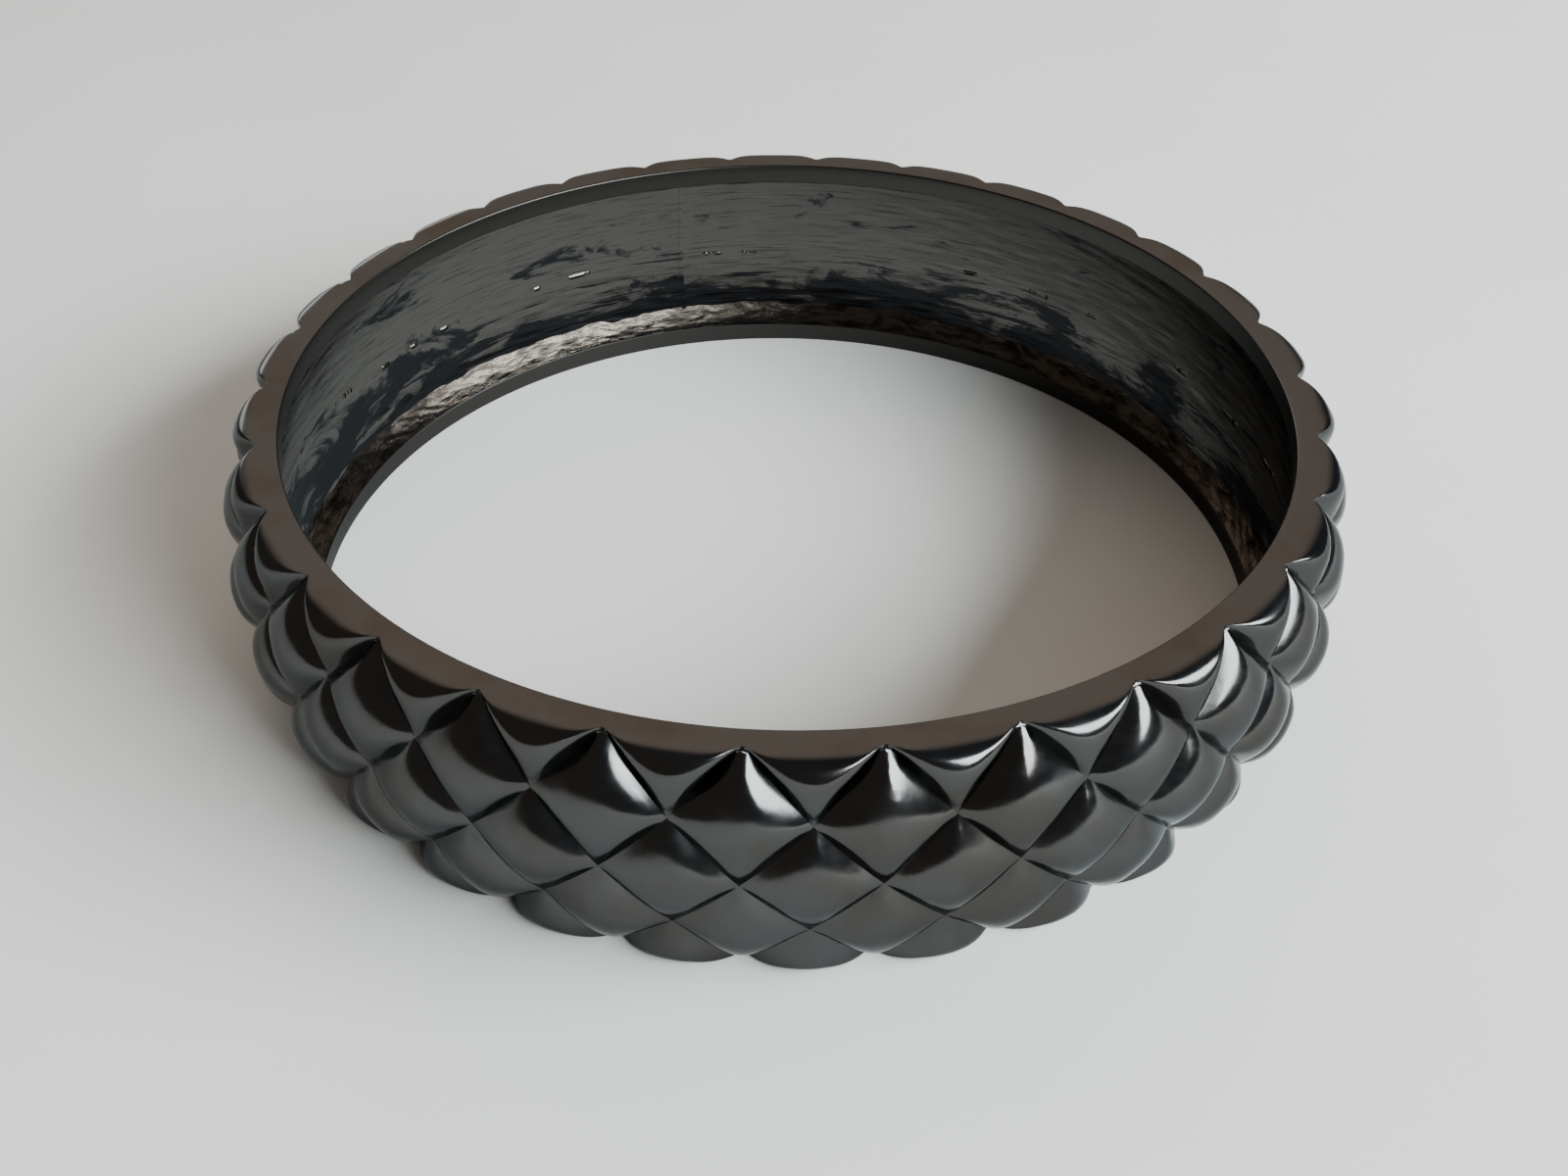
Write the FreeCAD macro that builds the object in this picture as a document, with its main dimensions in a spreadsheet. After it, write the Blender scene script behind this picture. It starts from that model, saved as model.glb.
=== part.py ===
"""Slip-on bangle: a quilted pressed shell, closed on the inside by a plain rolled liner.

The shell is a strip of sheet, pressed with rows of puffed diamonds, flanged along both edges and
turned in to a short lip at the bore. It is rolled into a ring and its ends are soldered. The liner
is a plain strip, rolled slightly hollow and sprung in behind the two lips, with its own soldered
joint. A run of solder fills the corner between each lip and the liner.

Frame: millimetres, +Z up along the bore, origin at the centre of the lower rim's flat face.
The grooves between the diamonds meet the rims at angle 0 and at every pitch after it.
"""
import FreeCAD, Part

import math
import os

import Sketcher
from FreeCAD import Placement, Rotation, Vector

# alias, value, what it is
DRIVING_DIMENSIONS = [
    ("bore_diameter", 65.0, "clear diameter between the lips"),
    ("band_height", 16.2, "height from rim to rim"),
    ("rim_width", 1.3, "from the bore to the groove floor, at the rim"),
    ("crown_rise", 2.1, "how far the groove floor bulges out, from rim to mid height"),
    ("stud_height", 1.1, "how far a diamond stands above its grooves, at mid height"),
    ("rim_stud_height", 1.8, "how far the half diamonds along the rims stand above theirs"),
    ("stud_fullness", 0.95, "power on the diamond's dome: below 1 is fuller, above 1 is sharper"),
    ("quilt_columns", 30.0, "diamonds around the band"),
    ("quilt_rows", 2.0, "diamonds stacked in one column"),
    ("sheet_thickness", 0.6, "metal of the shell, its flanges and its lips"),
    ("shoulder_land", 0.5, "flat rim left outside the groove floor, before the shoulder"),
    ("shoulder_radius", 1.9, "round over of the shoulder"),
    ("bore_edge_radius", 0.15, "broken edge where the rim meets the bore"),
    ("lip_depth", 1.5, "height of each lip, from its rim"),
    ("liner_thickness", 0.4, "metal of the liner"),
    ("liner_clearance", 0.1, "room between the liner's edges and the shell"),
    ("liner_room", 0.3, "room between the liner's back and the groove floor, at mid height"),
    ("joint_width", 0.3, "gap between the ends of a strip, filled with solder"),
    ("shell_joint_angle", 90.0, "where the shell's ends meet, from +X"),
    ("liner_joint_angle", 103.0, "where the liner's ends meet, from +X"),
    ("lower_solder_rise", 1.6, "how far the solder climbs the liner from the lower lip"),
    ("upper_solder_rise", 0.5, "how far the solder runs down the liner from the upper lip"),
    ("solder_toe", 0.1, "bare edge of the lip beside the solder"),
    ("solder_hollow", 3.2, "radius of the hollow face of the solder"),
]

# Sample points along each side of a diamond, from groove to groove, closer together at the grooves.
DIAMOND_SAMPLES = [0.0, 0.06, 0.16, 0.32, 0.5, 0.68, 0.84, 0.94, 1.0]
SEWING_TOLERANCE = 1e-4
NEAR_ZERO = 1e-9
TOOL_MARGIN = 2.0

NODES = [
    "quilted_shell",
    "shell_joint_solder",
    "liner_band",
    "liner_joint_solder",
    "upper_lip_solder",
    "lower_lip_solder",
]

# Derived sizes, as expressions on the sheet.
BORE = "(sizes.bore_diameter / 2)"
HEIGHT = "sizes.band_height"
SHEET = "sizes.sheet_thickness"
LIP_BACK = f"({BORE} + {SHEET})"
LINER_BACK = f"({LIP_BACK} + sizes.liner_thickness)"
RIM_FLOOR = f"({BORE} + sizes.rim_width)"
SHOULDER_START = f"({RIM_FLOOR} + sizes.shoulder_land)"
OUTSIDE = (
    f"({RIM_FLOOR} + sizes.crown_rise + max(sizes.stud_height; sizes.rim_stud_height)"
    f" + {TOOL_MARGIN})"
)
# The groove floor closes in towards the rims: the liner stops where it still has its clearance.
TIGHT = f"max(0; {LINER_BACK} + sizes.liner_clearance + {SHEET} - {RIM_FLOOR})"
LINER_HALF = (
    f"min({HEIGHT} / 2 - {SHEET} - sizes.liner_clearance; "
    f"{HEIGHT} / 2 * sqrt(1 - {TIGHT} / sizes.crown_rise))"
)
LINER_FOOT = f"({HEIGHT} / 2 - {LINER_HALF})"
LINER_TOP = f"({HEIGHT} / 2 + {LINER_HALF})"
LINER_CROWN = f"({RIM_FLOOR} + sizes.crown_rise - {SHEET} - sizes.liner_room - {LINER_BACK})"
LINER_ARC = f"(({LINER_HALF} ^ 2 + {LINER_CROWN} ^ 2) / (2 * {LINER_CROWN}))"
LINER_JOINT_TURN = f"(sizes.joint_width / {LIP_BACK} * 180 / pi)"
Z_AXIS = Vector(0, 0, 1)


def make_sheet(doc):
    """Puts the driving dimensions in a spreadsheet, one aliased cell each."""
    sheet = doc.addObject("Spreadsheet::Sheet", "sizes")
    for row, (alias, value, note) in enumerate(DRIVING_DIMENSIONS, start=1):
        sheet.set(f"A{row}", alias)
        sheet.set(f"B{row}", str(value))
        sheet.set(f"C{row}", note)
        sheet.setAlias(f"B{row}", alias)
    doc.recompute()
    return sheet


def origin_plane(body, role):
    """The body's own origin plane with that role."""
    return next(feature for feature in body.Origin.OriginFeatures if feature.Role == role)


def add_bound(sketch, expression, *constraint):
    """Adds a constraint with a value, then drives the value by an expression on the sheet."""
    index = sketch.addConstraint(Sketcher.Constraint(*constraint))
    sketch.setExpression(f"Constraints[{index}]", expression)


def add_side(sketch, here, there, arc):
    """Adds one side of an outline; returns its start and its end as sketch points.

    arc is None for a straight side, or (radius expression, side): side is 1 where the arc's centre
    lies to the left of the way from here to there, and -1 where it lies to the right.
    """
    if arc is None:
        line = sketch.addGeometry(Part.LineSegment(here, there))
        return (line, 1), (line, 2)
    expression, side = arc
    radius = float(sketch.evalExpression(expression))
    run = there - here
    left = Vector(-run.y, run.x, 0).normalize()
    reach = math.sqrt(max(radius**2 - run.Length**2 / 4, 0))
    centre = (here + there) / 2 + left * side * reach
    # A sketch draws its arcs anticlockwise, so one with its centre to the right is drawn backwards.
    first, last = (here, there) if side > 0 else (there, here)
    angles = [math.atan2(point.y - centre.y, point.x - centre.x) for point in (first, last)]
    curve = sketch.addGeometry(Part.ArcOfCircle(Part.Circle(centre, Z_AXIS, radius), *angles))
    add_bound(sketch, expression, "Radius", curve, radius)
    if side > 0:
        return (curve, 1), (curve, 2)
    return (curve, 2), (curve, 1)


def add_profile(body, name, corners):
    """A closed outline in the body's XZ plane, anticlockwise, as (radius, height, arc) corners."""
    sketch = body.newObject("Sketcher::SketchObject", name)
    sketch.AttachmentSupport = [(origin_plane(body, "XZ_Plane"), "")]
    sketch.MapMode = "FlatFace"
    places = [
        Vector(float(sketch.evalExpression(radius)), float(sketch.evalExpression(height)), 0)
        for radius, height, _ in corners
    ]
    sides = [
        add_side(sketch, places[index], places[(index + 1) % len(places)], arc)
        for index, (_, _, arc) in enumerate(corners)
    ]
    for index, (radius, height, _) in enumerate(corners):
        start = sides[index][0]
        end_before = sides[index - 1][1]
        sketch.addConstraint(Sketcher.Constraint("Coincident", *end_before, *start))
        add_bound(sketch, radius, "DistanceX", -1, 1, *start, places[index].x)
        add_bound(sketch, height, "DistanceY", -1, 1, *start, places[index].y)
    return sketch


def make_ring(doc, name, corners, turn="360", start="0"):
    """A body turned about Z from an outline, through an angle, from a starting angle."""
    body = doc.addObject("PartDesign::Body", name)
    sketch = add_profile(body, f"{name}_profile", corners)
    ring = body.newObject("PartDesign::Revolution", f"{name}_turned")
    ring.Profile = sketch
    ring.ReferenceAxis = (sketch, ["V_Axis"])
    ring.setExpression("Angle", turn)
    body.Tip = ring
    body.Placement = Placement(Vector(), Rotation(Z_AXIS, 1))
    body.setExpression("Placement.Rotation.Angle", start)
    return body


def fit_poles(points):
    """The control points of the cubic through a diamond's sample points, and the cubic itself."""
    curve = Part.BSplineCurve()
    curve.interpolate(Points=points, Parameters=DIAMOND_SAMPLES)
    return curve.getPoles(), curve


def floor_and_stud(sheet, height):
    """Radius of the groove floor and the height of a full diamond above it, at a height.

    The floor is a parabola, fullest at mid height. The studs stay even but for the rows that the
    rims cut in half, which stand higher.
    """
    from_middle = 2 * height / sheet.band_height - 1
    rim = sheet.bore_diameter / 2 + sheet.rim_width
    floor = rim + sheet.crown_rise * (1 - from_middle**2)
    stud = sheet.stud_height + (sheet.rim_stud_height - sheet.stud_height) * from_middle**4
    return floor, stud


def diamond_point(sheet, row, along, across, inset):
    """A point on one diamond, from 0 to 1 along each of its two pairs of grooves."""
    around = (row + along + across) / 2
    down = (row + along - across) / 2
    angle = 2 * math.pi * around / sheet.quilt_columns
    height = sheet.band_height * (1 - down / sheet.quilt_rows)
    folds = [max(math.sin(math.pi * place), 0) for place in (along, across)]
    # The harmonic mean of the two folds: a dome with four flanks that meet on blunt ridges.
    dome = 2 * folds[0] * folds[1] / max(sum(folds), NEAR_ZERO)
    floor, stud = floor_and_stud(sheet, height)
    radius = floor - inset + stud * dome**sheet.stud_fullness
    return Vector(radius * math.cos(angle), radius * math.sin(angle), height)


def diamond_face(sheet, row, inset):
    """One diamond as a cubic patch. Its sides depend on its grooves alone, so neighbours meet."""
    rows_of_poles = []
    for along in DIAMOND_SAMPLES:
        points = [diamond_point(sheet, row, along, across, inset) for across in DIAMOND_SAMPLES]
        rows_of_poles.append(fit_poles(points)[0])
    columns_of_poles = []
    for column in zip(*rows_of_poles):
        poles, curve = fit_poles(list(column))
        columns_of_poles.append(poles)
    knots, multiplicities = curve.getKnots(), curve.getMultiplicities()
    poles = [list(line) for line in zip(*columns_of_poles)]
    open_ends = (False, False)
    degrees = (curve.Degree, curve.Degree)
    patch = Part.BSplineSurface()
    patch.buildFromPolesMultsKnots(
        poles, multiplicities, multiplicities, knots, knots, *open_ends, *degrees
    )
    return patch.toShape()


def closing_radius(sheet):
    """Radius at which the quilted solid is closed, beyond both rims."""
    return sheet.bore_diameter / 2 + sheet.rim_width


def closing_faces(sheet, edges, height):
    """Faces from the free edges of one column's last row to a level polygon at that height."""
    radius = closing_radius(sheet)
    faces = []
    for edge in edges:
        ends = []
        for vertex in edge.Vertexes:
            angle = math.atan2(vertex.Y, vertex.X)
            ends.append(Vector(radius * math.cos(angle), radius * math.sin(angle), height))
        faces.append(Part.makeRuledSurface(edge, Part.makeLine(*ends)))
    return faces


def free_edges(face, row, last_row):
    """The two edges of a first or last row diamond that no other diamond shares."""
    heights = [vertex.Z for vertex in face.Vertexes]
    outermost = max(heights) if row == 0 else min(heights)
    return [
        edge
        for edge in face.Edges
        if row in (0, last_row) and outermost in [vertex.Z for vertex in edge.Vertexes]
    ]


def quilt_solid(sheet, inset):
    """A solid whose side is the quilted face, sunk by the inset, and run past both rims."""
    last_row = int(2 * sheet.quilt_rows)
    columns = int(sheet.quilt_columns)
    beyond = {0: 1.5 * sheet.band_height, last_row: -0.5 * sheet.band_height}
    column_faces = []
    for row in range(last_row + 1):
        face = diamond_face(sheet, row, inset)
        column_faces.append(face)
        if row in beyond:
            edges = free_edges(face, row, last_row)
            column_faces += closing_faces(sheet, edges, beyond[row])
    faces = []
    for column in range(columns):
        for face in column_faces:
            turned = face.copy()
            turned.rotate(Vector(), Z_AXIS, 360 * column / columns)
            faces.append(turned)
    radius = closing_radius(sheet)
    # The grooves cross on every half pitch, so each cap has a corner there.
    turns = [math.pi * corner / columns for corner in range(2 * columns + 1)]
    for height in beyond.values():
        corners = [Vector(radius * math.cos(t), radius * math.sin(t), height) for t in turns]
        faces.append(Part.Face(Part.makePolygon(corners)))
    shell = Part.makeShell(faces)
    shell.sewShape(SEWING_TOLERANCE)
    solid = Part.makeSolid(shell)
    if solid.Volume < 0:
        solid.reverse()
    return solid


def make_feature(doc, kind, name, **properties):
    """Adds a document object and sets its properties."""
    feature = doc.addObject(kind, name)
    for key, value in properties.items():
        setattr(feature, key, value)
    return feature


def make_shell(doc, sheet):
    """The quilted shell and the solder in its joint."""
    land, edge = "sizes.shoulder_radius", "sizes.bore_edge_radius"
    outside = make_ring(
        doc,
        "outer_form",
        [
            (f"{BORE} + {edge}", "0", None),
            (SHOULDER_START, "0", (land, 1)),
            (f"{SHOULDER_START} + {land}", land, None),
            (OUTSIDE, land, None),
            (OUTSIDE, f"{HEIGHT} - {land}", None),
            (f"{SHOULDER_START} + {land}", f"{HEIGHT} - {land}", (land, 1)),
            (SHOULDER_START, HEIGHT, None),
            (f"{BORE} + {edge}", HEIGHT, (edge, 1)),
            (BORE, f"{HEIGHT} - {edge}", None),
            (BORE, edge, (edge, 1)),
        ],
    )
    inner_land = f"({land} - {SHEET})"
    lip = "sizes.lip_depth"
    inside = make_ring(
        doc,
        "hollow_form",
        [
            (f"{BORE} - {TOOL_MARGIN}", lip, None),
            (LIP_BACK, lip, None),
            (LIP_BACK, SHEET, None),
            (SHOULDER_START, SHEET, (inner_land, 1)),
            (f"{SHOULDER_START} + {inner_land}", land, None),
            (OUTSIDE, land, None),
            (OUTSIDE, f"{HEIGHT} - {land}", None),
            (f"{SHOULDER_START} + {inner_land}", f"{HEIGHT} - {land}", (inner_land, 1)),
            (SHOULDER_START, f"{HEIGHT} - {SHEET}", None),
            (LIP_BACK, f"{HEIGHT} - {SHEET}", None),
            (LIP_BACK, f"{HEIGHT} - {lip}", None),
            (f"{BORE} - {TOOL_MARGIN}", f"{HEIGHT} - {lip}", None),
        ],
    )
    pressed = []
    for name, form, inset in [
        ("outer_face", outside, 0.0),
        ("inner_face", inside, sheet.sheet_thickness),
    ]:
        quilt = make_feature(doc, "Part::Feature", f"{name}_quilt", Shape=quilt_solid(sheet, inset))
        pressed.append(make_feature(doc, "Part::Common", name, Base=form, Tool=quilt))
    ring = make_feature(doc, "Part::Cut", "pressed_ring", Base=pressed[0], Tool=pressed[1])
    slab = make_slab(doc, "shell_joint")
    make_feature(doc, "Part::Cut", "quilted_shell", Base=ring, Tool=slab)
    make_feature(doc, "Part::Common", "shell_joint_solder", Base=ring, Tool=slab)


def make_slab(doc, name):
    """An upright slab as wide as a joint, across the band at the joint's angle."""
    slab = doc.addObject("Part::Box", f"{name}_slab")
    slab.setExpression("Length", f"{OUTSIDE} - {BORE} + {TOOL_MARGIN}")
    slab.setExpression("Width", "sizes.joint_width")
    slab.setExpression("Height", f"{HEIGHT} + 2 * {TOOL_MARGIN}")
    slab.Placement = Placement(Vector(), Rotation(Z_AXIS, 1))
    angle = f"sizes.{name}_angle"
    reach = f"({BORE} - {TOOL_MARGIN})"
    slab.setExpression("Placement.Rotation.Angle", angle)
    half = "sizes.joint_width / 2"
    slab.setExpression("Placement.Base.x", f"{reach} * cos({angle}) + {half} * sin({angle})")
    slab.setExpression("Placement.Base.y", f"{reach} * sin({angle}) - {half} * cos({angle})")
    slab.setExpression("Placement.Base.z", f"-{TOOL_MARGIN}")
    return slab


def liner_face(height):
    """Expression for the radius of the liner's hollow face at a height."""
    return (
        f"({LIP_BACK} + {LINER_CROWN} - {LINER_ARC}"
        f" + sqrt({LINER_ARC} ^ 2 - ({height} - {HEIGHT} / 2) ^ 2))"
    )


def make_liner(doc):
    """The liner strip and the solder in its joint, which share the faces between them."""
    outline = [
        (LIP_BACK, LINER_FOOT, None),
        (LINER_BACK, LINER_FOOT, (LINER_ARC, 1)),
        (LINER_BACK, LINER_TOP, None),
        (LIP_BACK, LINER_TOP, (LINER_ARC, -1)),
    ]
    half_turn = f"{LINER_JOINT_TURN} / 2"
    angle = "sizes.liner_joint_angle"
    make_ring(doc, "liner_band", outline, f"360 - {LINER_JOINT_TURN}", f"{angle} + {half_turn}")
    make_ring(doc, "liner_joint_solder", outline, LINER_JOINT_TURN, f"{angle} - {half_turn}")


def make_lip_solder(doc):
    """The runs of solder in the corners between the lips and the liner."""
    toe = f"{BORE} + sizes.solder_toe"
    hollow = ("sizes.solder_hollow", -1)
    along_liner = (LINER_ARC, 1)
    lower_lip = "sizes.lip_depth"
    lower_end = f"({lower_lip} + sizes.lower_solder_rise)"
    make_ring(
        doc,
        "lower_lip_solder",
        [
            (toe, lower_lip, None),
            (liner_face(lower_lip), lower_lip, along_liner),
            (liner_face(lower_end), lower_end, hollow),
        ],
    )
    upper_lip = f"({HEIGHT} - sizes.lip_depth)"
    upper_end = f"({upper_lip} - sizes.upper_solder_rise)"
    make_ring(
        doc,
        "upper_lip_solder",
        [
            (liner_face(upper_lip), upper_lip, None),
            (toe, upper_lip, hollow),
            (liner_face(upper_end), upper_end, along_liner),
        ],
    )


def check_and_export(doc):
    """Stops on any object that failed, then writes one STEP file for each piece."""
    for item in doc.Objects:
        if {"Invalid", "Error"} & set(item.State):
            raise RuntimeError(f"{item.Name} did not recompute")
    os.makedirs("parts", exist_ok=True)
    for name in NODES:
        shape = doc.getObject(name).Shape
        if shape.isNull() or not shape.isValid() or len(shape.Solids) != 1:
            raise RuntimeError(f"{name} is not one valid solid")
        shape.exportStep(f"parts/{name}.step")


def main():
    """Builds the bangle and writes its pieces."""
    doc = FreeCAD.newDocument("bangle")
    sheet = make_sheet(doc)
    make_shell(doc, sheet)
    make_liner(doc)
    make_lip_solder(doc)
    doc.recompute()
    check_and_export(doc)


main()
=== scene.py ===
"""The looks of a slip-on bangle: a quilted plated shell lined with a streaked inner band.

Everything is in metres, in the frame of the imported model: +Z up along the bore, origin at the
centre of the lower rim's flat face. Around is the angle about Z from +X, and down is the distance
below the upper rim.
"""

import logging
import math
from dataclasses import dataclass, field
from enum import Enum

import bpy
import numpy as np
from mathutils import Matrix, Vector


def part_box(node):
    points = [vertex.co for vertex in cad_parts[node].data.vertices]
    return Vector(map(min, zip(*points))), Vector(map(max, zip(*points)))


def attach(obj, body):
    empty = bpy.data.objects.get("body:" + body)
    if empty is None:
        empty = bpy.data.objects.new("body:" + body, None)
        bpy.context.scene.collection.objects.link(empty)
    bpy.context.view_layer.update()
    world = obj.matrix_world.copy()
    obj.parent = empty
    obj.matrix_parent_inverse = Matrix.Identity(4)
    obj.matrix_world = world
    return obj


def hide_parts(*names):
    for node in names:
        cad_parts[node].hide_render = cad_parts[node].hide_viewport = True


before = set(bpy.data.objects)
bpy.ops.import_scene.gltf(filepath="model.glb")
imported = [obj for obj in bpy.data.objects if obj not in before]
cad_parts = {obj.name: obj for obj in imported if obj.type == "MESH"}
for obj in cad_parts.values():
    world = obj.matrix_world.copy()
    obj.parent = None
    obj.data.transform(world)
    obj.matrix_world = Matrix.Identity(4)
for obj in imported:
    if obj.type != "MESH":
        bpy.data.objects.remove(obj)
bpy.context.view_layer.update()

LOG = logging.getLogger("bangle")
BODY = "root"
FULL_TURN = 2 * math.pi


class Slot(Enum):
    """The record's material slots."""

    SHELL = "shell_plating"
    LINER = "liner_plating"
    SOLDER = "solder"


@dataclass(frozen=True)
class BandSizes:
    """Sizes that the pieces share."""

    bore: float = 0.0325
    height: float = 0.0162
    rim_width: float = 0.0013
    crown_rise: float = 0.0021
    stud_height: float = 0.0011
    rim_stud_height: float = 0.0018
    stud_fullness: float = 0.95
    columns: int = 30
    rows: int = 2
    sheet: float = 0.0006
    shoulder_land: float = 0.0005
    shoulder: float = 0.0019
    edge: float = 0.00015
    lip: float = 0.0015
    liner: float = 0.0004
    liner_room: float = 0.0003
    joint_width: float = 0.0003
    shell_joint: float = math.radians(90)
    liner_joint: float = math.radians(103)
    lower_solder: float = 0.0016
    upper_solder: float = 0.0005
    solder_hollow: float = 0.0032

    @property
    def lip_back(self) -> float:
        """Radius of the lips' backs and of the liner's edges."""
        return self.bore + self.sheet

    @property
    def liner_crown(self) -> float:
        """How much deeper the hollow liner is half way up than at its edges."""
        inside = self.bore + self.rim_width + self.crown_rise - self.sheet - self.liner_room
        return inside - self.lip_back - self.liner

    def liner_face(self, height: np.ndarray, half: float) -> np.ndarray:
        """Radius of the liner's hollow face: a circular arc over a strip of that half height."""
        bend = (half**2 + self.liner_crown**2) / (2 * self.liner_crown)
        from_middle = height - self.height / 2
        return self.lip_back + self.liner_crown - bend + np.sqrt(bend**2 - from_middle**2)

    @property
    def shoulder_start(self) -> float:
        """Radius where the flat rim gives way to the shoulder."""
        return self.bore + self.rim_width + self.shoulder_land


def smooth_min(first: np.ndarray, second: np.ndarray, blend: float | np.ndarray) -> np.ndarray:
    """The lesser of two arrays, with the crease between them rounded over.

    The formula is half of what is left when the root of their difference squared plus the blend
    squared is taken from their sum.

    Args:
        first: One array.
        second: The other, of the same shape.
        blend: How widely the crease is rounded, in the arrays' own unit: one value or an array.

    Returns:
        The blended lesser of the two.
    """
    return 0.5 * (first + second - np.sqrt((first - second) ** 2 + blend**2))


def ripple(around: np.ndarray, height: np.ndarray, seed: int, waves: int, turns: int,
           rises: float) -> np.ndarray:
    """A seamless unevenness: a sum of sine waves with whole turns around the band.

    Each wave is the sine of a whole number times the angle, plus a wave number times the height,
    plus a phase. Numbers, phases and weights are drawn from the seed.

    Args:
        around: Angles.
        height: Heights in metres.
        seed: Seed for the waves.
        waves: How many waves to add.
        turns: Most waves around the band.
        rises: Most waves per metre of height.

    Returns:
        Values of about -1 to 1.
    """
    draw = np.random.default_rng(seed)
    total = np.zeros(np.broadcast(around, height).shape)
    for _ in range(waves):
        number = draw.integers(1, turns + 1)
        steepness = FULL_TURN * draw.uniform(-rises, rises)
        total = total + np.sin(number * around + steepness * height + draw.uniform(0, FULL_TURN))
    return total / math.sqrt(waves) / 1.5


@dataclass
class Quilt:
    """The quilted face: its shape as a radius for each angle and height."""

    sizes: BandSizes
    groove_softness: float = 0.07
    uneven_studs: float = 0.05
    dents: float = 0.00002
    shoulder_softness: float = 0.0008
    seed: int = 7
    peaks: np.ndarray = field(init=False)

    def __post_init__(self) -> None:
        """Draws each diamond's own height."""
        draw = np.random.default_rng(self.seed)
        count = (2 * self.sizes.columns + 2, 2 * self.sizes.rows + 3)
        self.peaks = 1 - self.uneven_studs * draw.random(count)

    def floor(self, height: np.ndarray) -> np.ndarray:
        """Radius of the groove floor: a parabola of the height, fullest half way up."""
        sizes = self.sizes
        from_middle = 2 * height / sizes.height - 1
        return sizes.bore + sizes.rim_width + sizes.crown_rise * (1 - from_middle**2)

    def ridge(self, place: np.ndarray) -> np.ndarray:
        """A rounded fold: 0 at whole numbers, 1 half way between, with a soft foot."""
        soft = self.groove_softness
        wave = np.sin(np.pi * place)
        return (np.sqrt(wave**2 + soft**2) - soft) / (math.sqrt(1 + soft**2) - soft)

    def lattice(self, around: np.ndarray, height: np.ndarray) -> tuple[np.ndarray, np.ndarray]:
        """Places across the two families of grooves: a groove lies at every whole number.

        They are the angle in pitches, plus and minus the way down in rows.
        """
        turns = around / FULL_TURN * self.sizes.columns
        down = self.sizes.rows * (1 - height / self.sizes.height)
        return turns + down, turns - down

    def dome(self, rising: np.ndarray, falling: np.ndarray) -> np.ndarray:
        """How full a diamond is at its lattice places: the harmonic mean of its two folds."""
        first, second = self.ridge(rising), self.ridge(falling)
        return 2 * first * second / (first + second + 1e-6)

    def radius(self, around: np.ndarray, height: np.ndarray) -> np.ndarray:
        """Radius of the quilted face, before its shoulders are rounded.

        It is the groove floor plus the stud height times the dome to a power. Each diamond has its
        own height, and shallow dents.

        Args:
            around: Angles.
            height: Heights, of the same shape.

        Returns:
            Radii.
        """
        sizes = self.sizes
        rising, falling = self.lattice(around, height)
        dome = self.dome(rising, falling)
        steps = np.floor(rising).astype(int), np.floor(falling).astype(int)
        peak = self.peaks[np.mod(steps[0] + steps[1], 2 * sizes.columns), steps[0] - steps[1]]
        uneven = self.dents * ripple(around, height, self.seed, 40, 160, 300) * dome
        from_middle = 2 * height / sizes.height - 1
        full = sizes.stud_height + (sizes.rim_stud_height - sizes.stud_height) * from_middle**4
        stud = full * peak * dome**sizes.stud_fullness
        return self.floor(height) + stud - np.abs(uneven)

    def shouldered(self, around: np.ndarray, height: np.ndarray, inset: float) -> np.ndarray:
        """Radius of the quilted face under its rounded shoulders, sunk by an inset.

        A shoulder is a quarter circle in section, from the flat rim outwards and towards the
        middle. The face is the lesser of the quilt and the shoulder, blended more where a diamond
        is full.

        Args:
            around: Angles.
            height: Heights, of the same shape.
            inset: How far inside the outer face.

        Returns:
            Radii.
        """
        sizes = self.sizes
        from_rim = np.minimum(height, sizes.height - height)
        bend = sizes.shoulder - inset
        fall = np.clip(sizes.shoulder - from_rim, 0, bend)
        shoulder = sizes.shoulder_start + np.sqrt(np.maximum(bend**2 - fall**2, 0))
        shoulder = np.where(from_rim >= sizes.shoulder, shoulder + 1, shoulder)
        face = self.radius(around, height) - inset
        fade = np.clip(1 - from_rim / sizes.shoulder, 0, 1)
        blend = self.shoulder_softness * fade * self.dome(*self.lattice(around, height))
        return smooth_min(face, shoulder, blend + 1e-6)


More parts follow.
